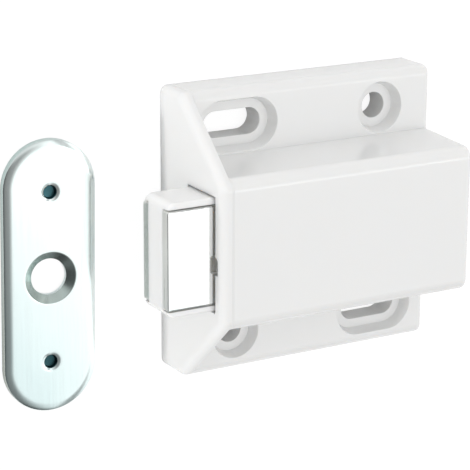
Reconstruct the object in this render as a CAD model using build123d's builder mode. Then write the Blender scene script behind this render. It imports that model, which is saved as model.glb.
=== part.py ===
from build123d import *
from math import asin, atan, cos, degrees, hypot, radians, sin, tan
import os

os.makedirs("parts", exist_ok=True)

# Magnetic touch catch with its strike plate, in millimetres.
# The catch lies on its mounting face: Z = 0 is the face that is screwed to the cabinet side.
# X runs from the door (-X, where the plunger stands out) to the rear, Y runs across.

# ---------------------------------------------------------------- housing sizes
base_length = 42.0
base_width = 42.2
base_thickness = 6.6
base_edge_r = 1.4
box_foot_width = 23.0
box_draft = 3.1
box_height = 18.0
box_edge_r = 1.75
rear_edge_r = 0.7
wall = 1.6
ceiling = 1.5
end_wall = 1.7
end_wall_edge_r = 1.2

# mouth for the plunger, in the end wall
mouth_width = 16.9
mouth_lip = 1.85
mouth_height = 8.05
mouth_notch_y = -1.5
mouth_notch_width = 2.6
mouth_notch_depth = 0.65
mouth_notch_chamfer = 0.45

# screw holes: a round one and a slotted one on each wing, turned about the middle
screw_hole_r = 1.95
screw_head_r = 3.85
screw_head_depth = 1.9
screw_head_draft = 17.0
screw_row_y = 15.6
round_hole_x = 12.2
slot_x = 12.0
slot_run = 5.5

# pockets cored out of the wings from below
core_wall = 1.6
core_roof = 1.8
boss_wall = 1.2
boss_recess = 1.0
core_rib = 1.2

# ---------------------------------------------------------------- back cover sizes
cover_thickness = 2.0
cover_rebate = 0.9
cover_gap = 0.08
cover_corner_r = 1.0
rail_width = 1.0
rail_front_x = -9.0
rail_rear_x = 13.0
peg_r = 1.0
peg_length = 4.0
peg_gap = 0.03
peg_lead = 0.25
peg_boss_r = 2.0
peg_x = 17.6
peg_y = 7.6

# ---------------------------------------------------------------- plunger sizes
travel = 6.5
plunger_reach = 7.2
mouth_side_gap = 0.2
mouth_play = 0.5
plunger_corner_r = 1.2
plunger_edge = 0.3
slider_side_gap = 0.2
slider_floor_gap = 1.8
slider_ceiling_gap = 0.2
slider_front_x = -9.0
slider_rear_x = 5.0
stop_gap = 0.05
stop_length = 3.2
sliding_gap = 0.12
running_gap = 0.05

# pole plates and magnet, a sandwich carried by the plunger
pole_thickness = 1.5
pole_width = 14.3
pole_length = 17.7
pole_proud = 0.1
pole_gap = 0.2
pole_reach = 0.05
pole_corner_r = 0.3
pole_edge = 0.15
magnet_length = 13.0
magnet_width = 11.8
magnet_nose = 1.7
magnet_gap = 0.1

# ---------------------------------------------------------------- spring sizes
spring_wire_r = 0.3
spring_outer_r = 2.6
spring_turns = 8
spring_wire_sides = 6
spring_drop = 1.1
spring_socket_depth = 10.0
spring_socket_gap = 0.35
spigot_r = 1.8
spigot_length = 4.5
spigot_lead = 0.6
spring_end_gap = 0.02

# ---------------------------------------------------------------- cam track and follower
wire_r = 0.5
wire_sides = 8
wire_bend_r = 0.8
follower_arm = 13.5
follower_throw = 2.6
follower_foot = 0.4
track_gap = 0.3
track_depth = 2.0
track_rear_x = 2.6
latch_travel = 4.5
island_half_width = 1.85
island_corner_r = 0.25
cusp_y = -0.5
pin_reach = 1.7

# ---------------------------------------------------------------- strike plate sizes
strike_length = 39.8
strike_width = 13.8
strike_thickness = 1.5
strike_roll_width = 1.25
strike_roll_depth = 0.35
strike_roll_r = 2.0
strike_hole_r = 2.65
strike_sink_r = 3.8
strike_sink_angle = 110
dimple_r = 0.9
dimple_depth = 0.8
dimple_lead = 0.25
dimple_y = 12.45
pip_r = 0.9
pip_height = 0.3
strike_x = -39.4
strike_y = -4.3
strike_turn = -1.0

# a length that only tells one face or edge from the next
tiny = 0.01

# ---------------------------------------------------------------- places worked out from the sizes
door_x = -base_length / 2
rear_x = base_length / 2
cavity_front_x = door_x + end_wall
cavity_rear_x = rear_x - wall
box_top_width = box_foot_width - 2 * (box_height - base_thickness) * tan(radians(box_draft))
cavity_width = box_top_width - 2 * wall
cavity_top_z = box_height - ceiling
box_arc_y = box_top_width / 2 - box_edge_r * tan(radians(90 - box_draft) / 2)
gusset_run = base_width / 2 - base_edge_r - box_arc_y
gusset_rise = box_height - box_edge_r - (base_thickness - base_edge_r)
gusset_turn = asin((box_edge_r - base_edge_r) / hypot(gusset_rise, gusset_run))
gusset_slope = atan(gusset_rise / gusset_run) + gusset_turn
gusset_foot_z = base_thickness - base_edge_r + base_edge_r * tan((radians(90) - gusset_slope) / 2)
gusset_top_y = box_arc_y + box_edge_r * tan(gusset_slope / 2)
body_front_x = door_x + end_wall_edge_r
body_length = rear_x - body_front_x
mouth_top_z = box_height - mouth_lip
mouth_floor_z = mouth_top_z - mouth_height
notch_left_y = mouth_notch_y - mouth_notch_width / 2
notch_right_y = mouth_notch_y + mouth_notch_width / 2
cavity_length = cavity_rear_x - cavity_front_x
cavity_x = (cavity_front_x + cavity_rear_x) / 2
screw_boss_r = screw_head_r + boss_wall
core_width = (base_width - box_foot_width) / 2 - core_wall
core_y = (box_foot_width + core_width) / 2
core_depth = base_thickness - core_roof

plunger_front_x = door_x - plunger_reach
plunger_width = mouth_width - 2 * mouth_side_gap
plunger_thickness = mouth_height - 2 * mouth_play
plunger_z = mouth_floor_z + mouth_height / 2
plunger_bottom_z = mouth_floor_z + mouth_play
pole_outer_z = plunger_thickness / 2 + pole_proud
pole_inner_z = pole_outer_z - pole_thickness
slider_width = cavity_width - 2 * slider_side_gap
spring_z = plunger_z - spring_drop
wire_clear = spring_wire_r + spring_end_gap
slider_bottom_z = cover_thickness + slider_floor_gap
slider_top_z = cavity_top_z - slider_ceiling_gap
arm_z = cover_thickness + slider_floor_gap / 2

follower_angle = degrees(asin(follower_throw / follower_arm))
pivot_x = track_rear_x + follower_arm * cos(radians(follower_angle))
swing_sagitta = follower_arm * (1 - cos(radians(follower_angle)))
pin_room = wire_r + track_gap


def mirrored(values):
    """Give the same values with both signs, for a pair either side of the middle."""
    return [sign * value for sign in (1, -1) for value in values]


def track_outline():
    """Draw the wall of the cam track: straight sides and a front of two bays with a cusp between."""
    side = follower_throw + pin_room
    rear = track_rear_x + pin_room
    shoulder = track_rear_x - travel - wire_r
    cusp_x = track_rear_x - travel - swing_sagitta - pin_room
    bay_x = cusp_x - wire_r
    with BuildSketch() as outline:
        with BuildLine():
            Polyline((shoulder, -side), (rear, -side), (rear, side), (shoulder, side))
            ThreePointArc((shoulder, side), (bay_x, (side + cusp_y) / 2), (cusp_x, cusp_y))
            ThreePointArc((cusp_x, cusp_y), (bay_x, (cusp_y - side) / 2), (shoulder, -side))
        make_face()
    return outline.sketch


def island_outline():
    """Draw the heart that the follower's pin runs round, with the latching notch in its front."""
    tail_x = track_rear_x - swing_sagitta - pin_room
    waist_x = tail_x - island_half_width
    lobe_x = track_rear_x - travel + pin_room
    notch_x = track_rear_x - latch_travel + pin_room
    with BuildSketch() as outline:
        with BuildLine():
            Polyline(
                (tail_x, 0),
                (waist_x, island_half_width),
                (lobe_x, island_half_width),
                (lobe_x, pin_room),
                (notch_x, 0),
                (lobe_x, -pin_room),
                (lobe_x, -island_half_width),
                (waist_x, -island_half_width),
                close=True,
            )
        make_face()
        fillet(outline.vertices().group_by(Axis.X)[0], island_corner_r)
    return outline.sketch


# ================================================================ outer forms of the housing
with BuildPart() as box:
    # raised box: drafted sides, flush with the rear of the base plate
    with BuildSketch(Plane.YZ.offset(rear_x)):
        with BuildLine():
            Polyline(
                (-box_foot_width / 2, 0),
                (box_foot_width / 2, 0),
                (box_foot_width / 2, base_thickness),
                (box_top_width / 2, box_height),
                (-box_top_width / 2, box_height),
                (-box_foot_width / 2, base_thickness),
                close=True,
            )
        make_face()
    extrude(amount=-body_length)
    fillet(box.faces().sort_by(Axis.Z)[-1].edges().filter_by(Axis.X), box_edge_r)
    rear_edges = box.faces().sort_by(Axis.X)[-1].edges()
    fillet(rear_edges.filter_by_position(Axis.Z, base_thickness + tiny, box_height + tiny), rear_edge_r)

with BuildPart() as door_wall:
    # wall at the door end: its gussets run smoothly from the rims of the base into the top of the box
    with BuildSketch(Plane.YZ.offset(door_x)) as door_wall_outline:
        with BuildLine():
            Polyline(
                (-base_width / 2, 0),
                (base_width / 2, 0),
                (base_width / 2, gusset_foot_z),
                (gusset_top_y, box_height),
                (-gusset_top_y, box_height),
                (-base_width / 2, gusset_foot_z),
                close=True,
            )
        make_face()
        fillet(door_wall_outline.vertices().group_by(Axis.Y)[-1], box_edge_r)
        fillet(door_wall_outline.vertices().group_by(Axis.Y)[1], base_edge_r)
    extrude(amount=end_wall)
    door_edges = door_wall.faces().sort_by(Axis.X)[0].edges()
    fillet(door_edges.filter_by_position(Axis.Z, tiny, box_height + tiny), end_wall_edge_r)

# ================================================================ housing
with BuildPart() as housing:
    # base plate: rounded along its sides and, less, round its rear
    with BuildSketch():
        with Locations((body_front_x + body_length / 2, 0)):
            Rectangle(body_length, base_width)
    extrude(amount=base_thickness)
    fillet(housing.faces().sort_by(Axis.Z)[-1].edges().filter_by(Axis.X), base_edge_r)
    rear_edges = housing.faces().sort_by(Axis.X)[-1].edges()
    fillet(rear_edges.filter_by_position(Axis.Z, tiny, base_thickness + tiny), rear_edge_r)

    # raised box over the mechanism, and the wall that the plunger comes through
    add(box.part)
    add(door_wall.part)

    # bay for the mechanism, open towards the mounting face
    with BuildSketch():
        with Locations((cavity_x, 0)):
            Rectangle(cavity_length, cavity_width)
    extrude(amount=cavity_top_z, mode=Mode.SUBTRACT)

    # rebate that the back cover drops into
    with BuildSketch():
        with Locations((cavity_x, 0)):
            RectangleRounded(
                cavity_length + 2 * cover_rebate,
                cavity_width + 2 * cover_rebate,
                cover_corner_r,
            )
    extrude(amount=cover_thickness, mode=Mode.SUBTRACT)

    # mouth for the plunger, with the clearance notch in its upper edge
    with BuildSketch(Plane.YZ.offset(door_x)):
        with Locations((0, mouth_floor_z + mouth_height / 2)):
            Rectangle(mouth_width, mouth_height)
        with BuildLine():
            Polyline(
                (notch_left_y, mouth_top_z - mouth_notch_depth),
                (notch_left_y, mouth_top_z + mouth_notch_depth),
                (notch_right_y - mouth_notch_chamfer, mouth_top_z + mouth_notch_depth),
                (notch_right_y, mouth_top_z + mouth_notch_depth - mouth_notch_chamfer),
                (notch_right_y, mouth_top_z - mouth_notch_depth),
                close=True,
            )
        make_face()
    extrude(amount=end_wall, mode=Mode.SUBTRACT)

    # bosses for the cover's pegs, hanging from the ceiling in the rear corners
    with BuildSketch(Plane.XY.offset(cover_thickness)):
        with Locations(*((peg_x, y) for y in mirrored([peg_y]))):
            Circle(peg_boss_r)
    extrude(amount=cavity_top_z - cover_thickness + tiny)
    with BuildSketch(Plane.XY.offset(cover_thickness)):
        with Locations(*((peg_x, y) for y in mirrored([peg_y]))):
            Circle(peg_r + peg_gap)
    extrude(amount=peg_length + peg_gap, mode=Mode.SUBTRACT)

    # spigot on the rear wall that centres the spring
    with BuildSketch(Plane.YZ.offset(cavity_rear_x)):
        with Locations((0, spring_z)):
            Circle(spigot_r)
    extrude(amount=-spigot_length)
    spigot_x = cavity_rear_x - spigot_length
    flat_ends = housing.faces().filter_by(Axis.X)
    spigot_nose = flat_ends.filter_by_position(Axis.X, spigot_x - tiny, spigot_x + tiny)
    chamfer(spigot_nose.edges(), spigot_lead)

    # wings cored out from below: a shallow recess right over, deeper pockets between the screw bosses
    with BuildSketch():
        with Locations(*((cavity_x, y) for y in mirrored([core_y]))):
            Rectangle(cavity_length, core_width)
    extrude(amount=boss_recess, mode=Mode.SUBTRACT)
    with BuildSketch():
        with Locations(*((cavity_x, y) for y in mirrored([core_y]))):
            Rectangle(cavity_length, core_width)
        for sign in (1, -1):
            with Locations((sign * (round_hole_x - slot_x) / 2, sign * core_y)):
                Rectangle(core_rib, core_width, mode=Mode.SUBTRACT)
            with Locations((sign * round_hole_x, sign * screw_row_y)):
                Circle(screw_boss_r, mode=Mode.SUBTRACT)
            with Locations((-sign * slot_x, sign * screw_row_y)):
                SlotCenterToCenter(slot_run, 2 * screw_boss_r, mode=Mode.SUBTRACT)
    extrude(amount=core_depth, mode=Mode.SUBTRACT)

    # screw holes, one round and one slotted on each wing, with drafted pockets for the heads
    for sign in (1, -1):
        with BuildSketch():
            with Locations((sign * round_hole_x, sign * screw_row_y)):
                Circle(screw_hole_r)
            with Locations((-sign * slot_x, sign * screw_row_y)):
                SlotCenterToCenter(slot_run, 2 * screw_hole_r)
        extrude(amount=base_thickness, mode=Mode.SUBTRACT)
        with BuildSketch(Plane.XY.offset(base_thickness)):
            with Locations((sign * round_hole_x, sign * screw_row_y)):
                Circle(screw_head_r)
            with Locations((-sign * slot_x, sign * screw_row_y)):
                SlotCenterToCenter(slot_run, 2 * screw_head_r)
        extrude(amount=-screw_head_depth, taper=screw_head_draft, mode=Mode.SUBTRACT)

# ================================================================ back cover
with BuildPart() as back_cover:
    with BuildSketch():
        with Locations((cavity_x, 0)):
            RectangleRounded(
                cavity_length + 2 * (cover_rebate - cover_gap),
                cavity_width + 2 * (cover_rebate - cover_gap),
                cover_corner_r - cover_gap,
            )
    extrude(amount=cover_thickness)

    # two rails that the plunger slides on
    rail_y = (slider_width - rail_width) / 2 - rail_width
    with BuildSketch(Plane.XY.offset(cover_thickness)):
        with Locations(*(((rail_front_x + rail_rear_x) / 2, y) for y in mirrored([rail_y]))):
            Rectangle(rail_rear_x - rail_front_x, rail_width)
    extrude(amount=slider_floor_gap - sliding_gap)

    # pegs pressed into the housing's bosses
    with BuildSketch(Plane.XY.offset(cover_thickness)):
        with Locations(*((peg_x, y) for y in mirrored([peg_y]))):
            Circle(peg_r)
    extrude(amount=peg_length)
    chamfer(back_cover.faces().sort_by(Axis.Z)[-2:].edges(), peg_lead)

    # blind hole for the follower's pivot leg
    with Locations((pivot_x, 0, cover_thickness)):
        Hole(wire_r + running_gap, depth=cover_thickness - follower_foot + sliding_gap)

# ================================================================ plunger
with BuildPart() as plunger:
    # head: a flat block that passes through the mouth
    with BuildSketch(Plane.XY.offset(plunger_bottom_z)):
        with Locations(((plunger_front_x + slider_front_x) / 2, 0)):
            Rectangle(slider_front_x - plunger_front_x, plunger_width)
    extrude(amount=plunger_thickness)
    nose_corners = plunger.edges().filter_by(Axis.Z).group_by(Axis.X)[0]
    fillet(nose_corners, plunger_corner_r)
    nose_rim = plunger.faces().sort_by(Axis.X)[0].edges()
    chamfer(nose_rim.filter_by(Axis.Y), plunger_edge)

    # stop flange that meets the inside of the end wall
    with BuildSketch(Plane.XY.offset(plunger_bottom_z)):
        with Locations((cavity_front_x + stop_gap + stop_length / 2, 0)):
            Rectangle(stop_length, slider_width)
    extrude(amount=slider_top_z - plunger_bottom_z)

    # slider: the deep rear part, guided between the cover's rails and the ceiling
    with BuildSketch(Plane.XY.offset(slider_bottom_z)):
        with Locations(((slider_front_x + slider_rear_x) / 2, 0)):
            Rectangle(slider_rear_x - slider_front_x, slider_width)
    extrude(amount=slider_top_z - slider_bottom_z)

    # seats for the two pole plates, open at the nose
    seat_length = pole_length + pole_gap
    for side in (1, -1):
        with BuildSketch(Plane.XY.offset(plunger_z + side * pole_inner_z)):
            with Locations((plunger_front_x + seat_length / 2, 0)):
                Rectangle(seat_length, pole_width + 2 * pole_gap)
        extrude(amount=side * pole_thickness, mode=Mode.SUBTRACT)

    # pocket for the magnet, right through between the seats
    with BuildSketch(Plane.XY.offset(plunger_z - pole_inner_z)):
        with Locations((plunger_front_x + magnet_nose + magnet_length / 2, 0)):
            Rectangle(magnet_length + 2 * magnet_gap, magnet_width + 2 * magnet_gap)
    extrude(amount=2 * pole_inner_z, mode=Mode.SUBTRACT)

    # socket for the spring
    with BuildSketch(Plane.YZ.offset(slider_rear_x)):
        with Locations((0, spring_z)):
            Circle(spring_outer_r + spring_socket_gap)
    extrude(amount=-spring_socket_depth, mode=Mode.SUBTRACT)

    # heart-shaped cam track in the underside, with its island left standing
    with BuildSketch(Plane.XY.offset(slider_bottom_z)):
        add(track_outline())
        add(island_outline(), mode=Mode.SUBTRACT)
    extrude(amount=track_depth, mode=Mode.SUBTRACT)

# ================================================================ magnet and pole plates
with BuildPart() as magnet:
    with BuildSketch(Plane.XY.offset(plunger_z - pole_inner_z)):
        with Locations((plunger_front_x + magnet_nose + magnet_length / 2, 0)):
            Rectangle(magnet_length, magnet_width)
    extrude(amount=2 * pole_inner_z)


def pole_plate(side):
    """Make one steel pole plate, above the magnet for side 1 and below it for side -1."""
    with BuildPart() as pole:
        with BuildSketch(Plane.XY.offset(plunger_z + side * pole_inner_z)):
            with Locations((plunger_front_x - pole_reach + pole_length / 2, 0)):
                RectangleRounded(pole_length, pole_width, pole_corner_r)
        extrude(amount=side * pole_thickness)
        outer_face = pole.faces().filter_by(Axis.Z).sort_by(Axis.Z)[-1 if side > 0 else 0]
        chamfer(outer_face.edges(), pole_edge)
    return pole


upper_pole_plate = pole_plate(1)
lower_pole_plate = pole_plate(-1)

# ================================================================ return spring
spring_front_x = slider_rear_x - spring_socket_depth + wire_clear
spring_rear_x = cavity_rear_x - wire_clear
with BuildPart() as return_spring:
    with BuildLine() as coil:
        Helix(
            pitch=(spring_rear_x - spring_front_x) / spring_turns,
            height=spring_rear_x - spring_front_x,
            radius=spring_outer_r - spring_wire_r,
            center=(spring_front_x, 0, spring_z),
            direction=(1, 0, 0),
        )
    with BuildSketch(Plane(origin=coil.line @ 0, z_dir=coil.line % 0)):
        RegularPolygon(spring_wire_r, spring_wire_sides)
    sweep(is_frenet=True)

# ================================================================ cam follower
with BuildPart() as cam_follower:
    with BuildLine() as wire:
        FilletPolyline(
            (pivot_x, 0, follower_foot),
            (pivot_x, 0, arm_z),
            (track_rear_x, -follower_throw, arm_z),
            (track_rear_x, -follower_throw, slider_bottom_z + pin_reach),
            radius=wire_bend_r,
        )
    with BuildSketch(Plane(origin=wire.line @ 0, z_dir=wire.line % 0)):
        RegularPolygon(wire_r, wire_sides)
    sweep()

# ================================================================ strike plate
# It lies on the floor as it would come to rest: on one long edge and the two pips on its back.
strike_tilt = atan(pip_height / (strike_width / 2 - pip_r))
strike_lift = strike_width / 2 * sin(strike_tilt)
turn = radians(strike_turn)
strike_plane = Plane(
    origin=(strike_x, strike_y, strike_lift),
    x_dir=(cos(strike_tilt) * cos(turn), cos(strike_tilt) * sin(turn), sin(strike_tilt)),
    z_dir=(-sin(strike_tilt) * cos(turn), -sin(strike_tilt) * sin(turn), cos(strike_tilt)),
)
with BuildPart() as strike_plate:
    with BuildSketch(strike_plane):
        SlotOverall(strike_length, strike_width, rotation=90)
    extrude(amount=strike_thickness)

    # rim pressed over all round the front
    strike_normal = Axis(strike_plane.origin, strike_plane.z_dir)
    front_face = strike_plate.faces().sort_by(strike_normal)[-1]
    chamfer(front_face.edges(), strike_roll_width, strike_roll_depth, reference=front_face)
    front_face = strike_plate.faces().sort_by(strike_normal)[-1]
    fillet(front_face.edges(), strike_roll_r)

    # pips punched through to the back, with their dimples in the front
    with BuildSketch(strike_plane.offset(strike_thickness)):
        with Locations(*((0, y) for y in mirrored([dimple_y]))):
            Circle(dimple_r)
    extrude(amount=-dimple_depth, mode=Mode.SUBTRACT)
    front_face = strike_plate.faces().sort_by(strike_normal)[-1]
    chamfer(front_face.edges().filter_by(GeomType.CIRCLE), dimple_lead)
    with BuildSketch(strike_plane):
        with Locations(*((0, y) for y in mirrored([dimple_y]))):
            Circle(pip_r)
    extrude(amount=-pip_height)

    # countersunk screw hole
    with Locations(strike_plane.offset(strike_thickness)):
        CounterSinkHole(strike_hole_r, strike_sink_r, counter_sink_angle=strike_sink_angle)

# ================================================================ files
housing.part.label = "housing"
export_step(housing.part, "parts/housing.step")
back_cover.part.label = "back_cover"
export_step(back_cover.part, "parts/back_cover.step")
plunger.part.label = "plunger"
export_step(plunger.part, "parts/plunger.step")
magnet.part.label = "magnet"
export_step(magnet.part, "parts/magnet.step")
upper_pole_plate.part.label = "upper_pole_plate"
export_step(upper_pole_plate.part, "parts/upper_pole_plate.step")
lower_pole_plate.part.label = "lower_pole_plate"
export_step(lower_pole_plate.part, "parts/lower_pole_plate.step")
return_spring.part.label = "return_spring"
export_step(return_spring.part, "parts/return_spring.step")
cam_follower.part.label = "cam_follower"
export_step(cam_follower.part, "parts/cam_follower.step")
strike_plate.part.label = "strike_plate"
export_step(strike_plate.part, "parts/strike_plate.step")
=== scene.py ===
"""A magnetic touch catch and its strike plate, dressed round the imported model.

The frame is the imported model: +Z stands out of the mounting face, the door is towards -X.
Sizes are in millimetres until a piece is made, and in metres from there on.
"""
import logging
import math
from dataclasses import dataclass
from enum import Enum

import bmesh
import bpy
from mathutils import Matrix, Vector


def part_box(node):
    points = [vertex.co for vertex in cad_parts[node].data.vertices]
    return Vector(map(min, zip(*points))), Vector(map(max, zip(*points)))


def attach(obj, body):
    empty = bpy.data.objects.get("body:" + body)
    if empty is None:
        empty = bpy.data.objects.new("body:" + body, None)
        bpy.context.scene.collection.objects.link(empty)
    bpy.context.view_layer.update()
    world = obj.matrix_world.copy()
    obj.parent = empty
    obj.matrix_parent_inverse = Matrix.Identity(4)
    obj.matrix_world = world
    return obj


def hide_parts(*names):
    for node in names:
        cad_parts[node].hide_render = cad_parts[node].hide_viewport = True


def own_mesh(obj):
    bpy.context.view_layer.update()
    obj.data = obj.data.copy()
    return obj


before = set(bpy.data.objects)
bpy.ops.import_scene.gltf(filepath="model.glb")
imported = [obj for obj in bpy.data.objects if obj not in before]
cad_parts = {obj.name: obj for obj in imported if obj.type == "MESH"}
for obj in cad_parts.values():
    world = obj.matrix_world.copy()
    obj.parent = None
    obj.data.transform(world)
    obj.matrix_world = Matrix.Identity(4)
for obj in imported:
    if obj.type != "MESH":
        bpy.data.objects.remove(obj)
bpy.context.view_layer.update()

log = logging.getLogger("catch")
Triple = tuple[float, float, float]
Stops = tuple[tuple[float, float], ...]
Profile = list[tuple[float, float]]
Halves = list[tuple[float, list[bmesh.types.BMVert]]]

MM = 0.001
# how near two points are, in millimetres, when they are one
WELD = 0.0005
# the angle between two faces from which their edge is drawn sharp
CREASE = math.radians(40.0)
# the share of Z in its normal below which a face is upright, and above which it is level
UPRIGHT, LEVEL = 0.1, 0.9
# coordinates as they are, for a pattern that isn't drawn out
UNSTRETCHED = (1.0, 1.0, 1.0)
# where most values of a noise pattern lie
NOISE_LOW, NOISE_HIGH = 0.3, 0.7
# how many rays a softened edge takes
EDGE_SAMPLES = 6


class Slot(Enum):
    """The record's material slots."""

    HOUSING = "housing_plastic"
    PLUNGER = "plunger_plastic"
    MAGNET = "magnet_ferrite"
    POLES = "pole_steel"
    SPRING = "spring_steel"
    STRIKE = "strike_steel"


class Body(Enum):
    """The bodies that pieces ride on."""

    CATCH = "catch"
    PLUNGER = "plunger"
    FOLLOWER = "follower"


# ---------------------------------------------------------------- finishes
class Nodes:
    """A node tree, with short calls to add and join nodes."""

    def __init__(self, tree: bpy.types.NodeTree) -> None:
        """Take the tree that the calls add to."""
        self.tree = tree

    def add(self, kind: str, **values: object) -> bpy.types.Node:
        """Add a node and set its inputs, or its own properties, by name.

        Args:
            kind: the node's type, without the word ShaderNode.
            values: properties, or inputs with underlines for spaces.

        Returns:
            The new node.
        """
        node = self.tree.nodes.new("ShaderNode" + kind)
        for key, value in values.items():
            title = key.replace("_", " ").title()
            if title in node.inputs:
                node.inputs[title].default_value = value
            else:
                setattr(node, key, value)
        return node

    def join(self, source: bpy.types.NodeSocket, target: bpy.types.NodeSocket) -> None:
        """Link an output to an input."""
        self.tree.links.new(source, target)

    def between(
        self,
        value: bpy.types.NodeSocket,
        low: tuple[float, float],
        high: tuple[float, float],
    ) -> bpy.types.NodeSocket:
        """Map a value from one range to another.

        Args:
            value: the value to map.
            low: where the range starts, before and after.
            high: where the range ends, before and after.

        Returns:
            The mapped value.
        """
        node = self.add("MapRange")
        self.join(value, node.inputs["Value"])
        node.inputs["From Min"].default_value, node.inputs["To Min"].default_value = low
        node.inputs["From Max"].default_value, node.inputs["To Max"].default_value = high
        return node.outputs["Result"]

    def math(self, operation: str, *values: object) -> bpy.types.NodeSocket:
        """Work out a value from numbers and sockets.

        Args:
            operation: the node's operation.
            values: its inputs, in order.

        Returns:
            The result.
        """
        node = self.add("Math", operation=operation)
        for socket, value in zip(node.inputs, values):
            if isinstance(value, bpy.types.NodeSocket):
                self.join(value, socket)
            else:
                socket.default_value = value
        return node.outputs[0]

    def curve(self, value: bpy.types.NodeSocket, stops: Stops) -> bpy.types.NodeSocket:
        """Draw a value's curve through stops.

        Args:
            value: the value, from -1 to 1.
            stops: where the curve's points are, and its height at each.

        Returns:
            The curve's height.
        """
        peak = max(height for _, height in stops)
        ramp = self.add("ValToRGB")
        elements = ramp.color_ramp.elements
        elements.remove(elements[1])
        for place, height in stops:
            elements.new((place + 1.0) / 2.0).color = (*[height / peak] * 3, 1.0)
        elements[0].color = elements[1].color
        self.join(self.between(value, (-1.0, 0.0), (1.0, 1.0)), ramp.inputs["Fac"])
        return self.math("MULTIPLY", ramp.outputs["Color"], peak)

    def blend(
        self,
        share: bpy.types.NodeSocket,
        first: bpy.types.NodeSocket,
        second: bpy.types.NodeSocket,
    ) -> bpy.types.NodeSocket:
        """Blend two shaders.

        Args:
            share: how much of the second one shows.
            first: the first shader.
            second: the second shader.

        Returns:
            The blended shader.
        """
        node = self.add("MixShader")
        for source, target in zip((share, first, second), node.inputs):
            self.join(source, target)
        return node.outputs[0]


@dataclass(frozen=True)
class Noise:
    """A noise pattern: how far apart its features are, in metres, and its finer layers."""

    pitch: float
    detail: float


class Graph(Nodes):
    """A material's node tree."""

    def __init__(self, name: str) -> None:
        """Start a material that holds one Principled shader.

        Args:
            name: the material's name.
        """
        self.material = bpy.data.materials.new(name)
        self.material.use_nodes = True
        super().__init__(self.material.node_tree)
        self.shader = self.tree.nodes["Principled BSDF"]

    def set(self, **values: object) -> None:
        """Set the shader's own sockets, with underlines for spaces."""
        for key, value in values.items():
            self.shader.inputs[key.replace("_", " ")].default_value = value

    def place(self, scale: Triple = UNSTRETCHED) -> bpy.types.NodeSocket:
        """Give object coordinates, in metres.

        Args:
            scale: how much they grow along each axis; a pattern is drawn out along a small one.

        Returns:
            The coordinates.
        """
        coordinates = self.add("TexCoord")
        mapping = self.add("Mapping")
        mapping.inputs["Scale"].default_value = scale
        self.join(coordinates.outputs["Object"], mapping.inputs["Vector"])
        return mapping.outputs["Vector"]

    def noise(self, place: bpy.types.NodeSocket, pattern: Noise) -> bpy.types.NodeSocket:
        """Give a noise pattern.

        Args:
            place: the coordinates that it reads.
            pattern: the pattern.

        Returns:
            The pattern's value.
        """
        node = self.add("TexNoise", scale=1.0 / pattern.pitch, detail=pattern.detail)
        self.join(place, node.inputs["Vector"])
        return node.outputs["Fac"]

    def paint(self, fac: bpy.types.NodeSocket, first: Triple, second: Triple) -> None:
        """Colour the surface with a blend of two colours.

        Args:
            fac: how much of the second colour shows.
            first: the first colour.
            second: the second colour.
        """
        node = self.add("Mix", data_type="RGBA")
        self.join(fac, node.inputs["Factor"])
        colours = [socket for socket in node.inputs if socket.type == "RGBA"]
        colours[0].default_value = (*first, 1.0)
        colours[1].default_value = (*second, 1.0)
        blend = next(socket for socket in node.outputs if socket.type == "RGBA")
        self.join(blend, self.shader.inputs["Base Color"])

    def polish(self, pattern: bpy.types.NodeSocket, least: float, most: float) -> None:
        """Vary the surface's roughness with a noise pattern.

        Args:
            pattern: the pattern.
            least: the roughness where the pattern is low.
            most: the roughness where it is high.
        """
        rough = self.between(pattern, (NOISE_LOW, least), (NOISE_HIGH, most))
        self.join(rough, self.shader.inputs["Roughness"])

    def emboss(self, height: bpy.types.NodeSocket, depth: float, edge: float = 0.0) -> None:
        """Raise the surface by a pattern, and soften its edges.

        Args:
            height: the pattern.
            depth: how far it stands out, in metres.
            edge: the radius of the softened edges, in metres.
        """
        bump = self.add("Bump", distance=depth)
        self.join(height, bump.inputs["Height"])
        if edge:
            soft = self.add("Bevel", radius=edge, samples=EDGE_SAMPLES)
            self.join(soft.outputs["Normal"], bump.inputs["Normal"])
        self.join(bump.outputs["Normal"], self.shader.inputs["Normal"])


@dataclass(frozen=True)
class MouldedPlastic:
    """White moulded plastic with the fine texture that its mould leaves, and its parting line.

    The line is a small step where X is `seam`, so many times as high as the texture.
    """

    name: str
    colour: Triple
    shade: Triple
    roughness: float
    edge: float
    seam: float | None = None
    seam_width: float = 0.2 * MM
    seam_height: float = 80.0
    cloud: Noise = Noise(1.0 / 60.0, 2.0)
    grain: Noise = Noise(0.15 * MM, 3.0)
    grain_depth: float = 0.0015 * MM
    spread: float = 0.03
    scatter: float = 0.3
    scatter_depth: float = 1.2 * MM
    scatter_radius: Triple = (1.0, 0.9, 0.8)

    def material(self) -> bpy.types.Material:
        """Build the node material.

        Returns:
            The material.
        """
        graph = Graph(self.name)
        place = graph.place()
        cloud = graph.noise(place, self.cloud)
        height = graph.noise(place, self.grain)
        graph.paint(cloud, self.colour, self.shade)
        graph.polish(cloud, self.roughness - self.spread, self.roughness + self.spread)
        if self.seam is not None:
            parts = graph.add("SeparateXYZ")
            graph.join(place, parts.inputs[0])
            foot = (self.seam - self.seam_width, 0.0)
            top = (self.seam + self.seam_width, self.seam_height)
            height = graph.math("ADD", height, graph.between(parts.outputs["X"], foot, top))
        graph.emboss(height, self.grain_depth, self.edge)
        graph.set(
            Subsurface_Weight=self.scatter,
            Subsurface_Scale=self.scatter_depth,
            Subsurface_Radius=self.scatter_radius,
        )
        return graph.material


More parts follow.
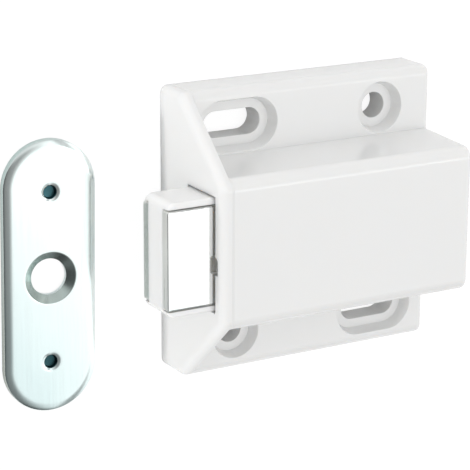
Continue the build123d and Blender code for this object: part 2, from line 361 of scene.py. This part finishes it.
@dataclass(frozen=True)
class PlatedSteel:
    """Bright plated sheet steel, with rolling lines, a tint in random patches, and a painted
    reflection.

    The painted reflection is the same darker tint, growing along one direction; `run` says where
    along it, in metres, the tint starts and is full.
    """

    name: str
    colour: Triple
    tint: Triple
    roughness: float
    lines: Noise = Noise(0.2 * MM, 4.0)
    line_depth: float = 0.003 * MM
    line_stretch: Triple = (1.0, 0.03, 1.0)
    cloud: Noise = Noise(1.0 / 90.0, 3.0)
    cloud_share: float = 0.2
    cloud_stretch: Triple = (1.0, 0.6, 1.0)
    # the direction along which the painted reflection's darker tint grows
    reflection_towards: Triple = (-1.6, -1.0, 0.0)
    run: tuple[float, float] = (40.0 * MM, 60.0 * MM)
    smoother: float = 0.04
    rougher: float = 0.05
    metallic: float = 1.0

    def material(self) -> bpy.types.Material:
        """Build the node material.

        Returns:
            The material.
        """
        graph = Graph(self.name)
        cloud = graph.noise(graph.place(self.cloud_stretch), self.cloud)
        lines = graph.noise(graph.place(self.line_stretch), self.lines)
        down = graph.add("VectorMath", operation="DOT_PRODUCT")
        down.inputs[1].default_value = self.reflection_towards
        graph.join(graph.place(), down.inputs[0])
        # painted reflection: the tint grows towards one end of the part, standing for the darker
        # reflection that the bright plate shows there
        painted_reflection = graph.between(down.outputs["Value"], (self.run[0], 0.0), (self.run[1], 1.0))
        low, high = (NOISE_LOW, -self.cloud_share), (NOISE_HIGH, self.cloud_share)
        patch = graph.between(cloud, low, high)
        tinted = graph.math("MAXIMUM", graph.math("ADD", painted_reflection, patch), 0.0)
        graph.paint(tinted, self.colour, self.tint)
        graph.polish(lines, self.roughness - self.smoother, self.roughness + self.rougher)
        graph.emboss(lines, self.line_depth)
        graph.set(Metallic=self.metallic)
        return graph.material


@dataclass(frozen=True)
class SinteredFerrite:
    """Dark ground ferrite with fine pores."""

    name: str
    colour: Triple
    pore: Triple
    roughness: float = 0.55
    metallic: float = 0.1
    pores: Noise = Noise(1.0 / 5000.0, 4.0)
    pore_depth: float = 0.02 * MM
    pore_start: float = 0.55

    def material(self) -> bpy.types.Material:
        """Build the node material.

        Returns:
            The material.
        """
        graph = Graph(self.name)
        pores = graph.noise(graph.place(), self.pores)
        spots = graph.between(pores, (self.pore_start, 0.0), (NOISE_HIGH, 1.0))
        graph.paint(spots, self.colour, self.pore)
        graph.emboss(pores, self.pore_depth)
        graph.set(Roughness=self.roughness, Metallic=self.metallic)
        return graph.material


@dataclass(frozen=True)
class DrawnWire:
    """Spring steel wire with the fine scratches of drawing."""

    name: str
    colour: Triple
    scratch: Triple
    roughness: float = 0.32
    scratches: Noise = Noise(1.0 / 4000.0, 3.0)
    scratch_depth: float = 0.004 * MM
    scratch_stretch: Triple = (1.0, 1.0, 0.2)

    def material(self) -> bpy.types.Material:
        """Build the node material.

        Returns:
            The material.
        """
        graph = Graph(self.name)
        scratches = graph.noise(graph.place(self.scratch_stretch), self.scratches)
        graph.paint(scratches, self.colour, self.scratch)
        graph.emboss(scratches, self.scratch_depth)
        graph.set(Roughness=self.roughness, Metallic=1.0)
        return graph.material


HOUSING_PLASTIC = MouldedPlastic(
    name="housing_white",
    colour=(0.800, 0.800, 0.792),
    shade=(0.780, 0.782, 0.780),
    roughness=0.16,
    edge=0.12 * MM,
    seam=-19.15 * MM,
)
PLUNGER_PLASTIC = MouldedPlastic(
    name="plunger_white",
    colour=(0.860, 0.857, 0.850),
    shade=(0.845, 0.843, 0.838),
    roughness=0.18,
    edge=0.15 * MM,
)
POLE_STEEL = PlatedSteel(
    name="pole_bright",
    colour=(0.95, 0.96, 0.95),
    tint=(0.86, 0.92, 0.92),
    roughness=0.12,
    lines=Noise(0.25 * MM, 4.0),
    line_depth=0.0006 * MM,
)
# painted light: a more matt, less metallic copy of the cut steel for the upper plate's edges,
# which renders them lighter, for how they are lit; the lower plate's alike edges keep the sheared
# steel
UPPER_EDGE_LIT_STEEL = PlatedSteel(
    name="pole_edge_painted_light",
    colour=(0.78, 0.79, 0.76),
    tint=(0.72, 0.75, 0.73),
    roughness=0.3,
    metallic=0.4,
)
SHEARED_STEEL = PlatedSteel(
    name="pole_sheared",
    colour=(0.86, 0.87, 0.84),
    tint=(0.78, 0.81, 0.79),
    roughness=0.24,
)
# where the strike plate's painted reflection, a darker cyan tint towards its lower end, starts and
# is full
STRIKE_REFLECTION_RUN = (62.0 * MM, 89.0 * MM)
STRIKE_ZINC = PlatedSteel(
    name="strike_zinc",
    colour=(0.90, 0.98, 0.97),
    tint=(0.76, 0.90, 0.90),
    roughness=0.18,
    lines=Noise(0.3 * MM, 4.0),
    line_depth=0.001 * MM,
    run=STRIKE_REFLECTION_RUN,
)
# painted shade: near-black steel inside the dimples, for the shade that falls in them
DIMPLE_SHADE_ZINC = PlatedSteel(
    name="dimple_painted_shade",
    colour=(0.05, 0.13, 0.15),
    tint=(0.03, 0.08, 0.09),
    roughness=0.3,
    lines=Noise(0.3 * MM, 4.0),
    line_depth=0.001 * MM,
    run=STRIKE_REFLECTION_RUN,
)
# darker steel on the countersink and round the outside: partly the bare cut edge, partly painted
# shade for the plate's dark outline and the shaded countersink
CUT_AND_SHADED_ZINC = PlatedSteel(
    name="cut_zinc_painted_shade",
    colour=(0.60, 0.72, 0.70),
    tint=(0.50, 0.54, 0.50),
    roughness=0.22,
    run=STRIKE_REFLECTION_RUN,
)
FERRITE = SinteredFerrite(
    name="ferrite",
    colour=(0.018, 0.018, 0.017),
    pore=(0.006, 0.006, 0.006),
)
SPRING_WIRE = DrawnWire(
    name="spring_wire",
    colour=(0.55, 0.55, 0.56),
    scratch=(0.38, 0.38, 0.40),
)


# ---------------------------------------------------------------- making pieces
def dress(node: str, finish: bpy.types.Material) -> None:
    """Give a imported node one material.

    Args:
        node: the node's name.
        finish: its material.
    """
    mesh = bpy.data.objects[node].data
    mesh.materials.clear()
    mesh.materials.append(finish)
    log.info("%s dressed", node)


def round_off(
    shape: bmesh.types.BMesh, edges: list[bmesh.types.BMEdge], radius: float, steps: int
) -> None:
    """Round edges off.

    Args:
        shape: the shape that they are in.
        edges: the edges.
        radius: how far the rounding reaches.
        steps: how many faces it has across.
    """
    bmesh.ops.bevel(
        shape,
        geom=edges,
        offset=radius,
        affect="EDGES",
        segments=steps,
        profile=0.5,
        material=-1,
    )


def edges_at(verts: list[bmesh.types.BMVert]) -> list[bmesh.types.BMEdge]:
    """Give the edges that meet at some points, each once."""
    return list(dict.fromkeys(edge for vert in verts for edge in vert.link_edges))


def draw_out(
    shape: bmesh.types.BMesh, edges: list[bmesh.types.BMEdge]
) -> tuple[list[bmesh.types.BMVert], list[bmesh.types.BMEdge]]:
    """Draw faces out of edges, which still have to be moved on.

    Args:
        shape: the shape that they are in.
        edges: the edges.

    Returns:
        The points and the edges at the new end of the faces.
    """
    made = bmesh.ops.extrude_edge_only(shape, edges=edges)["geom"]
    verts = [item for item in made if isinstance(item, bmesh.types.BMVert)]
    ends = set(verts)
    drawn = [item for item in made if isinstance(item, bmesh.types.BMEdge)]
    return verts, [edge for edge in drawn if set(edge.verts) <= ends]


@dataclass(frozen=True)
class Piece:
    """A new piece: its name, what it rides on, its finish's slot, which is not used, and the node
    it stands for.
    """

    name: str
    body: Body
    slot: Slot
    node: str

    def make(self, shape: bmesh.types.BMesh, *finishes: bpy.types.Material) -> bpy.types.Object:
        """Turn a shape, drawn in millimetres, into the piece.

        Args:
            shape: the shape, which is used up.
            finishes: its materials, in the order of its faces' indices.

        Returns:
            The piece.
        """
        bmesh.ops.remove_doubles(shape, verts=shape.verts, dist=WELD)
        bmesh.ops.recalc_face_normals(shape, faces=shape.faces)
        bmesh.ops.scale(shape, verts=shape.verts, vec=(MM, MM, MM))
        for face in shape.faces:
            face.smooth = True
        mesh = bpy.data.meshes.new(self.name)
        shape.to_mesh(mesh)
        shape.free()
        mesh.set_sharp_from_angle(angle=CREASE)
        for finish in finishes:
            mesh.materials.append(finish)
        piece = bpy.data.objects.new(self.name, mesh)
        bpy.context.scene.collection.objects.link(piece)
        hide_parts(self.node)
        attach(piece, self.body.value)
        log.info("%s made: %d faces", self.name, len(mesh.polygons))
        return piece


class Wire:
    """Round wire, drawn on from one end."""

    def __init__(self, radius: float, sides: int, place: Matrix) -> None:
        """Start the wire with its closed end.

        Args:
            radius: the wire's radius.
            sides: how many flats go round it.
            place: where its end lies; the wire runs along the place's Z.
        """
        self.shape = bmesh.new()
        end = bmesh.ops.create_circle(
            self.shape, cap_ends=True, segments=sides, radius=radius, matrix=place
        )
        self.rim = edges_at(end["verts"])

    def straight(self, run: Vector) -> None:
        """Draw a straight stretch.

        Args:
            run: how far it goes.
        """
        verts, self.rim = draw_out(self.shape, self.rim)
        bmesh.ops.translate(self.shape, verts=verts, vec=run)

    def bend(self, centre: Vector, axis: Vector, angle: float, steps: int, rise: Vector) -> None:
        """Draw an arc or a coil.

        Args:
            centre: a point on the axis.
            axis: what the wire turns about.
            angle: how far it turns, in radians.
            steps: how many straight pieces stand for it.
            rise: how far the arc moves on in all.
        """
        made = bmesh.ops.spin(
            self.shape,
            geom=self.rim,
            cent=centre,
            axis=axis,
            dvec=rise / steps,
            angle=angle,
            steps=steps,
        )
        self.rim = [item for item in made["geom_last"] if isinstance(item, bmesh.types.BMEdge)]

    def finish(self) -> bmesh.types.BMesh:
        """Close the far end and give the shape."""
        bmesh.ops.contextual_create(self.shape, geom=self.rim)
        return self.shape


# ---------------------------------------------------------------- the catch
@dataclass
class Housing:
    """The moulded housing and the cover that closes its back."""

    def dress(self) -> None:
        """Give both mouldings the housing's plastic."""
        plastic = HOUSING_PLASTIC.material()
        for node in ("housing", "back_cover"):
            dress(node, plastic)


@dataclass
class Plunger:
    """The plunger with its magnet, held between two pole plates."""

    corner_r: float = 0.3
    corner_steps: int = 4
    edge_r: float = 0.13
    edge_steps: int = 3
    broad_area: float = 1.0

    def dress(self) -> None:
        """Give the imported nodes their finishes."""
        dress("plunger", PLUNGER_PLASTIC.material())
        dress("magnet", FERRITE.material())

    def build(self) -> None:
        """Make both pole plates."""
        steel = POLE_STEEL.material()
        # the upper plate's cut edges take the more matt copy, which is painted light
        self.pole("upper_pole_plate", 1, steel, UPPER_EDGE_LIT_STEEL.material())
        self.pole("lower_pole_plate", -1, steel, SHEARED_STEEL.material())

    def pole(
        self, node: str, side: int, steel: bpy.types.Material, cut: bpy.types.Material
    ) -> None:
        """Make one pole plate: sheared corners, and the outer face's edges turned over.

        Its broad faces get a narrow margin, so that the rounded edges don't bend their shading.

        Args:
            node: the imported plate.
            side: 1 where its outer face looks up, -1 where it looks down.
            steel: the finish of its faces.
            cut: the finish of its cut edges.
        """
        low, high = (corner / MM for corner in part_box(node))
        size = high - low
        place = Matrix.Translation((low + high) / 2) @ Matrix.Diagonal((*size, 1.0))
        shape = bmesh.new()
        bmesh.ops.create_cube(shape, size=1.0, matrix=place)
        corners = [
            edge for edge in shape.edges if abs(edge.verts[0].co.z - edge.verts[1].co.z) > WELD
        ]
        round_off(shape, corners, self.corner_r, self.corner_steps)
        outer = high.z if side > 0 else low.z
        rim = [
            edge
            for edge in shape.edges
            if all(abs(vert.co.z - outer) < WELD for vert in edge.verts)
        ]
        round_off(shape, rim, self.edge_r, self.edge_steps)
        walls = [face for face in shape.faces if abs(face.normal.z) < UPRIGHT]
        flats = [face for face in shape.faces if abs(face.normal.z) > LEVEL]
        for face in walls:
            face.material_index = 1
        broad = [face for face in walls + flats if face.calc_area() > self.broad_area]
        bmesh.ops.inset_individual(
            shape, faces=broad, thickness=self.edge_r, use_even_offset=True
        )
        Piece(f"{node}_sheared", Body.PLUNGER, Slot.POLES, node).make(shape, steel, cut)


@dataclass
class Spring:
    """The return spring, wound with closed ends. `keep` is the share of it left when squashed; it
    is not used.
    """

    wire_r: float = 0.3
    closed_turns: float = 1.25
    open_turns: int = 6
    turn_steps: int = 28
    wire_sides: int = 12
    keep: float = 0.733

    def build(self, finish: bpy.types.Material) -> None:
        """Wind the spring.

        Args:
            finish: the wire's material.
        """
        low, high = (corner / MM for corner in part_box("return_spring"))
        along = Vector((1.0, 0.0, 0.0))
        centre = Vector((low.x, (low.y + high.y) / 2, (low.z + high.z) / 2))
        coil_r = (high.z - low.z) / 2 - self.wire_r
        start = Matrix.Translation(centre + Vector((self.wire_r, 0.0, coil_r)))
        across = Matrix.Rotation(math.pi / 2, 4, "X")
        wire = Wire(self.wire_r, self.wire_sides, start @ across)
        closed_rise = 2 * self.wire_r * self.closed_turns
        open_rise = high.x - low.x - 2 * self.wire_r - 2 * closed_rise
        ends = (self.closed_turns, closed_rise)
        for turns, rise in (ends, (self.open_turns, open_rise), ends):
            steps = round(turns * self.turn_steps)
            wire.bend(centre, along, turns * math.tau, steps, along * rise)
        wound = Piece("return_spring_wound", Body.CATCH, Slot.SPRING, "return_spring")
        piece = wound.make(wire.finish(), finish)
        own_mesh(piece)


@dataclass
class Follower:
    """The bent wire that latches the plunger: a pivot leg, an arm and a pin in the cam track."""

    wire_r: float = 0.5
    bend_r: float = 0.8
    bend_steps: int = 7
    wire_sides: int = 16
    pivot_x: float = 15.847
    pin_x: float = 2.6
    throw: float = 2.6
    arm_z: float = 2.9

    def build(self, finish: bpy.types.Material) -> None:
        """Bend the wire, with its arm along -X, and turn it to its rest.

        Args:
            finish: its material.
        """
        low, high = (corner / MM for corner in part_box("cam_follower"))
        reach = self.pivot_x - self.pin_x
        arm = math.hypot(reach, self.throw)
        across = Vector((0.0, 1.0, 0.0))
        wire = Wire(self.wire_r, self.wire_sides, Matrix.Translation((0.0, 0.0, low.z)))
        wire.straight(Vector((0.0, 0.0, self.arm_z - self.bend_r - low.z)))
        first = Vector((-self.bend_r, 0.0, self.arm_z - self.bend_r))
        wire.bend(first, across, -math.pi / 2, self.bend_steps, Vector())
        wire.straight(Vector((2 * self.bend_r - arm, 0.0, 0.0)))
        second = Vector((self.bend_r - arm, 0.0, self.arm_z + self.bend_r))
        wire.bend(second, across, math.pi / 2, self.bend_steps, Vector())
        wire.straight(Vector((0.0, 0.0, high.z - self.arm_z - self.bend_r)))
        shape = wire.finish()
        turned = Matrix.Rotation(math.atan2(self.throw, reach), 4, "Z")
        place = Matrix.Translation((self.pivot_x, 0.0, 0.0)) @ turned
        bmesh.ops.transform(shape, verts=shape.verts, matrix=place)
        bent = Piece("cam_follower_bent", Body.FOLLOWER, Slot.SPRING, "cam_follower")
        bent.make(shape, finish)


# ---------------------------------------------------------------- the strike plate
def arc(
    middle: tuple[float, float], radius: float, start: float, stop: float, steps: int
) -> Profile:
    """Give points on an arc of a section.

    Args:
        middle: the arc's centre, across and up.
        radius: its radius.
        start: the angle where it starts, in degrees from straight up.
        stop: the angle where it ends.
        steps: how many straight pieces stand for it.

    Returns:
        The points, across and up.
    """
    across, up = middle
    angles = (math.radians(start + (stop - start) * step / steps) for step in range(steps + 1))
    return [(across + radius * math.sin(angle), up + radius * math.cos(angle)) for angle in angles]


class Ring:
    """A closed row of edges round one centre or two, from which a section is drawn on."""

    def __init__(
        self,
        shape: bmesh.types.BMesh,
        centres: tuple[float, ...],
        steps: int,
        start: tuple[float, float],
    ) -> None:
        """Draw the first ring.

        Args:
            shape: the shape that it goes into.
            centres: where its centres lie along Y: one for a circle, two for a round-ended slot.
            steps: how many edges it has.
            start: its radius and height.
        """
        self.shape = shape
        self.centres = centres
        self.radius, self.height = start
        half_step = Matrix.Rotation(math.pi / steps, 4, "Z")
        made = bmesh.ops.create_circle(shape, segments=steps, radius=self.radius, matrix=half_step)
        for centre, verts in self.halves(made["verts"]):
            bmesh.ops.translate(shape, verts=verts, vec=(0.0, centre, self.height))
        self.edges = edges_at(made["verts"])
        self.first = self.edges

    def halves(self, verts: list[bmesh.types.BMVert]) -> Halves:
        """Share out points among the centres.

        Args:
            verts: the points.

        Returns:
            Each centre with the points round it.
        """
        if len(self.centres) == 1:
            return [(self.centres[0], verts)]
        return [(here, [vert for vert in verts if vert.co.y * here > 0]) for here in self.centres]

    def draw(self, profile: Profile) -> None:
        """Draw the section on.

        Args:
            profile: the radii and heights that it goes through.
        """
        for radius, height in profile:
            verts, self.edges = draw_out(self.shape, self.edges)
            ratio = radius / self.radius
            for centre, half in self.halves(verts):
                about = Matrix.Translation((0.0, -centre, 0.0))
                bmesh.ops.scale(self.shape, verts=half, vec=(ratio, ratio, 1.0), space=about)
            bmesh.ops.translate(self.shape, verts=verts, vec=(0.0, 0.0, height - self.height))
            self.radius, self.height = radius, height

    def close(self) -> None:
        """Close the last ring with a floor."""
        bmesh.ops.contextual_create(self.shape, geom=self.edges)


@dataclass
class StrikePlate:
    """The pressed plate on the door, lying on one long edge and its two pips.

    `flat` is the margin round each section, so that its bends don't reach into the faces' shading.
    """

    length: float = 39.8
    width: float = 13.8
    thickness: float = 1.5
    roll_width: float = 1.25
    roll_r: float = 2.4
    edge_r: float = 0.2
    back_edge_r: float = 0.15
    hole_r: float = 2.65
    hole_edge: float = 0.1
    sink_r: float = 3.8
    sink_half_angle: float = 55.0
    sink_lip_r: float = 0.3
    sink_slopes: tuple[float, float] = (0.5, 0.95)
    dimple_r: float = 0.9
    dimple_depth: float = 0.8
    dimple_lip_r: float = 0.25
    dimple_floor_r: float = 0.1
    dimple_sag: float = 0.10
    dimple_sag_r: float = 1.5
    dimple_y: float = 12.45
    pip_r: float = 0.9
    pip_height: float = 0.3
    pip_edge_r: float = 0.15
    flat: float = 0.3
    centre: tuple[float, float] = (-39.4, -4.3)
    turn: float = -1.0
    rim_steps: int = 160
    hole_steps: int = 96
    dimple_steps: int = 48
    bend_steps: int = 8
    lip_steps: int = 4
    dimple_bend_steps: int = 5

    def place(self) -> Matrix:
        """Say how the plate lies: tilted from its pips to one long edge.

        Returns:
            Its place.
        """
        tilt = math.atan(self.pip_height / (self.width / 2 - self.pip_r))
        lift = self.width / 2 * math.sin(tilt)
        turned = Matrix.Rotation(math.radians(self.turn), 4, "Z") @ Matrix.Rotation(-tilt, 4, "Y")
        return Matrix.Translation((*self.centre, lift)) @ turned

    def rim_profile(self) -> Profile:
        """Give the rim's section, from the front over the edge to the back.

        Returns:
            Its insets and heights.
        """
        roll_z = self.thickness - self.roll_r
        reach = self.roll_r - self.edge_r
        across = self.roll_width - self.edge_r
        back_r = self.back_edge_r
        meet = -math.degrees(math.asin(across / reach))
        edge_z = roll_z + math.sqrt(reach**2 - across**2)
        return [
            (self.roll_width + self.flat, self.thickness),
            *arc((self.roll_width, roll_z), self.roll_r, 0.0, meet, self.bend_steps),
            *arc((self.edge_r, edge_z), self.edge_r, meet, -90.0, self.bend_steps)[1:],
            *arc((back_r, back_r), back_r, -90.0, -180.0, self.bend_steps),
            (back_r + self.flat, 0.0),
        ]

    def hole_profile(self) -> Profile:
        """Give the countersunk hole's section, from the front to the back.

        Returns:
            Its radii and heights.
        """
        slope = 90.0 - self.sink_half_angle
        lip_r = self.sink_lip_r
        start = self.sink_r + lip_r * math.tan(math.radians(slope / 2))
        depth = (self.sink_r - self.hole_r) / math.tan(math.radians(self.sink_half_angle))
        return [
            (start + self.flat, self.thickness),
            *arc((start, self.thickness - lip_r), lip_r, 0.0, -slope, self.lip_steps),
            (self.hole_r, self.thickness - depth),
            (self.hole_r, self.hole_edge),
            (self.hole_r + self.hole_edge, 0.0),
            (self.hole_r + self.hole_edge + self.flat, 0.0),
        ]

    def dimple_profile(self) -> Profile:
        """Give a dimple's section, from the sagging front to its floor.

        Returns:
            Its radii and heights.
        """
        lip_r, floor_r, steps = self.dimple_lip_r, self.dimple_floor_r, self.dimple_bend_steps
        lip = (self.dimple_r + lip_r, self.thickness - self.dimple_sag - lip_r)
        floor_z = self.thickness - self.dimple_depth + floor_r
        drawn = 2.0 * self.dimple_sag / (self.dimple_sag_r - lip[0])
        slope = math.degrees(math.atan(drawn))
        bowl = (self.dimple_sag_r - lip[0]) / math.sin(math.radians(slope))
        return [
            (self.dimple_sag_r + self.flat, self.thickness),
            *arc((self.dimple_sag_r, self.thickness - bowl), bowl, 0.0, -slope, self.lip_steps),
            *arc(lip, lip_r, -slope, -90.0, steps),
            *arc((self.dimple_r - floor_r, floor_z), floor_r, 90.0, 180.0, steps),
        ]

    def pip_profile(self) -> Profile:
        """Give a pip's section, from the back to its top.

        Returns:
            Its radii and heights.
        """
        tip = (self.pip_r - self.pip_edge_r, self.pip_edge_r - self.pip_height)
        return [
            (self.pip_r + self.flat, 0.0),
            (self.pip_r, 0.0),
            *arc(tip, self.pip_edge_r, 90.0, 180.0, self.lip_steps),
        ]

    def finish_of(self, face: bmesh.types.BMFace) -> int:
        """Say which finish a face has, before the plate is laid down.

        Args:
            face: the face.

        Returns:
            1 inside a dimple, 2 on the countersink and round the outside, and 0 elsewhere.
        """
        middle = face.calc_center_median()
        near = min(math.hypot(middle.x, middle.y - y) for y in (self.dimple_y, -self.dimple_y))
        floor_z = self.thickness - self.dimple_depth - WELD
        if near < self.dimple_r + self.dimple_lip_r / 2 and floor_z < middle.z < self.thickness:
            return 1
        # the countersink and the outer skirt take the darker steel, which is partly painted shade
        steep, gentle = self.sink_slopes
        out, slope = middle.xy.length, abs(face.normal.z)
        cone = self.hole_r < out < self.sink_r and steep < slope < gentle
        skirt = self.sink_r < out and slope < steep
        return 2 if cone or skirt else 0

    def build(self) -> None:
        """Press the plate."""
        shape = bmesh.new()
        reach = (self.length - self.width) / 2
        rim_profile = [(self.width / 2 - inset, height) for inset, height in self.rim_profile()]
        rim = Ring(shape, (reach, -reach), self.rim_steps, rim_profile[0])
        rim.draw(rim_profile[1:])
        hole_profile = self.hole_profile()
        hole = Ring(shape, (0.0,), self.hole_steps, hole_profile[0])
        hole.draw(hole_profile[1:])
        front, back = rim.first + hole.first, rim.edges + hole.edges
        for y in (self.dimple_y, -self.dimple_y):
            for profile, side in ((self.dimple_profile(), front), (self.pip_profile(), back)):
                punched = Ring(shape, (y,), self.dimple_steps, profile[0])
                punched.draw(profile[1:])
                punched.close()
                side += punched.first
        for edges, up in ((front, 1.0), (back, -1.0)):
            bmesh.ops.triangle_fill(shape, use_beauty=True, edges=edges, normal=(0.0, 0.0, up))
        for face in shape.faces:
            face.material_index = self.finish_of(face)
        bmesh.ops.transform(shape, verts=shape.verts, matrix=self.place())
        piece = Piece("strike_plate_pressed", Body.CATCH, Slot.STRIKE, "strike_plate")
        piece.make(shape, STRIKE_ZINC.material(), DIMPLE_SHADE_ZINC.material(), CUT_AND_SHADED_ZINC.material())


# ---------------------------------------------------------------- the set
@dataclass
class View:
    """The camera: where it looks from and how far it is."""

    azimuth: float = 29.87
    elevation: float = 16.43
    roll: float = 0.27
    distance: float = 298.75 * MM
    lens: float = 154.2
    sensor: float = 36.0
    clip: tuple[float, float] = (0.01, 20.0)
    target: Triple = (-8.60 * MM, -2.87 * MM, 0.0)

    def build(self) -> None:
        """Place the camera, with the row's +Y up the picture."""
        around, over = math.radians(self.azimuth), math.radians(self.elevation)
        reach = math.cos(over)
        towards = Vector((-math.sin(around) * reach, math.sin(over), math.cos(around) * reach))
        right = Vector((0.0, 1.0, 0.0)).cross(towards).normalized()
        up = towards.cross(right)
        turn = Matrix((right, up, towards)).transposed().to_4x4()
        tilt = Matrix.Rotation(math.radians(self.roll), 4, "Z")
        place = Matrix.Translation(Vector(self.target) + towards * self.distance)
        data = bpy.data.cameras.new("camera")
        data.lens = self.lens
        data.sensor_width = self.sensor
        data.clip_start, data.clip_end = self.clip
        camera = bpy.data.objects.new("camera", data)
        bpy.context.scene.collection.objects.link(camera)
        camera.matrix_world = place @ turn @ tilt
        bpy.context.scene.camera = camera


@dataclass
class Floor:
    """The white floor that the object lies on."""

    size: float = 6.0
    gap: float = 0.02 * MM
    colour: Triple = (0.88, 0.88, 0.88)
    roughness: float = 0.9
    gloss: float = 0.1
    glow: float = 0.85
    glow_strength: float = 1.08

    def build(self) -> None:
        """Lay the floor a little below the object."""
        mesh = bpy.data.meshes.new("floor")
        shape = bmesh.new()
        bmesh.ops.create_grid(shape, x_segments=1, y_segments=1, size=self.size / 2)
        bmesh.ops.translate(shape, verts=shape.verts, vec=(0.0, 0.0, -self.gap))
        shape.to_mesh(mesh)
        shape.free()
        floor = bpy.data.objects.new("floor", mesh)
        bpy.context.scene.collection.objects.link(floor)
        mesh.materials.append(self.material())

    def material(self) -> bpy.types.Material:
        """Make the floor's white, which glows for the eye so that only a faint shadow is left.

        Returns:
            The material.
        """
        graph = Graph("floor_white")
        graph.set(
            Base_Color=(*self.colour, 1.0),
            Roughness=self.roughness,
            Specular_IOR_Level=self.gloss,
        )
        path = graph.add("LightPath").outputs
        seen = graph.math("MAXIMUM", path["Is Camera Ray"], path["Is Transmission Ray"])
        glow = graph.add("Emission", strength=self.glow_strength)
        blend = graph.blend(
            graph.math("MULTIPLY", seen, self.glow), graph.shader.outputs[0], glow.outputs[0]
        )
        graph.join(blend, graph.tree.nodes["Material Output"].inputs["Surface"])
        return graph.material


@dataclass
class Surroundings:
    """The light from all round: even on matt surfaces, and in gloss a room with a dark side.

    What gloss sees is given by curves over the direction that it looks in. Along Y they are
    `room`, and `strips` in its place where `window`, across X, is 1. Across X `side` darkens the
    door's side, which `open_end` undoes towards +Y.
    """

    sky: float = 0.77
    room: Stops = (
        (-0.92, 0.25), (-0.80, 0.95), (-0.42, 1.15), (-0.36, 1.20), (-0.30, 1.22), (-0.24, 1.38),
        (0.00, 1.40), (0.40, 1.30), (0.60, 0.95), (0.70, 0.75), (0.95, 0.60),
    )
    strips: Stops = (
        (-0.80, 0.35), (-0.60, 0.40), (-0.46, 0.60), (-0.38, 1.15), (-0.18, 1.25), (-0.13, 3.60),
        (-0.01, 3.60), (0.06, 0.90), (0.15, 0.60), (0.95, 0.50),
    )
    window: Stops = ((0.38, 0.0), (0.44, 1.0), (0.60, 1.0), (0.68, 0.0))
    side: Stops = (
        (-0.70, 0.05), (-0.58, 0.12), (-0.48, 0.17), (-0.37, 0.20), (-0.115, 0.22), (0.02, 0.31),
        (0.17, 0.52), (0.28, 0.87), (0.33, 1.00),
    )
    open_end: Stops = ((0.25, 0.0), (0.62, 0.8), (0.95, 1.0))

    def build(self) -> None:
        """Make the world."""
        world = bpy.data.worlds.new("studio")
        world.use_nodes = True
        nodes = Nodes(world.node_tree)
        even = nodes.tree.nodes["Background"]
        even.inputs["Strength"].default_value = self.sky
        cards = nodes.add("Background")
        nodes.join(self.gloss(nodes), cards.inputs["Strength"])
        for background in (even, cards):
            background.inputs["Color"].default_value = (1.0, 1.0, 1.0, 1.0)
        glossy = nodes.add("LightPath").outputs["Is Glossy Ray"]
        both = nodes.blend(glossy, even.outputs[0], cards.outputs[0])
        nodes.join(both, nodes.tree.nodes["World Output"].inputs["Surface"])
        bpy.context.scene.world = world

    def gloss(self, nodes: Nodes) -> bpy.types.NodeSocket:
        """Work out how bright gloss sees the surroundings.

        Args:
            nodes: the world's node tree.

        Returns:
            The brightness.
        """
        parts = nodes.add("SeparateXYZ")
        nodes.join(nodes.add("TexCoord").outputs["Generated"], parts.inputs[0])
        across, along = parts.outputs["X"], parts.outputs["Y"]
        room = nodes.curve(along, self.room)
        inside = nodes.math("SUBTRACT", nodes.curve(along, self.strips), room)
        light = nodes.math("MULTIPLY_ADD", inside, nodes.curve(across, self.window), room)
        side = nodes.curve(across, self.side)
        dark = nodes.math("SUBTRACT", 1.0, side)
        shade = nodes.math("MULTIPLY_ADD", nodes.curve(along, self.open_end), dark, side)
        return nodes.math("MULTIPLY", light, shade)


@dataclass(frozen=True)
class Lamp:
    """A soft square lamp that points at the object, in metres and watts."""

    name: str
    place: Triple
    size: float
    power: float

    def build(self) -> None:
        """Hang the lamp, out of sight of gloss."""
        data = bpy.data.lights.new(self.name, "AREA")
        data.size = self.size
        data.energy = self.power
        lamp = bpy.data.objects.new(self.name, data)
        bpy.context.scene.collection.objects.link(lamp)
        lamp.location = self.place
        lamp.rotation_euler = (-Vector(self.place)).to_track_quat("-Z", "Y").to_euler()
        lamp.visible_glossy = False


@dataclass
class Studio:
    """A white floor under plain soft light."""

    lamps: tuple[Lamp, ...] = (
        Lamp("overhead", (0.0, 0.06, 0.70), 0.28, 1.20),
        Lamp("door_side", (-0.70, -0.05, 0.03), 0.10, 1.90),
        Lamp("top_side", (0.05, 0.70, 0.07), 0.28, 0.90),
    )

    def build(self) -> None:
        """Make the floor, the world and the lamps."""
        Floor().build()
        Surroundings().build()
        for lamp in self.lamps:
            lamp.build()


def main() -> None:
    """Build the set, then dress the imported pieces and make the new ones."""
    logging.basicConfig(level=logging.INFO, format="%(name)s: %(message)s")
    bpy.context.scene.view_settings.view_transform = "Standard"
    View().build()
    Studio().build()
    Housing().dress()
    plunger = Plunger()
    plunger.dress()
    plunger.build()
    wire = SPRING_WIRE.material()
    Spring().build(wire)
    Follower().build(wire)
    StrikePlate().build()


if __name__ == "__main__":
    main()
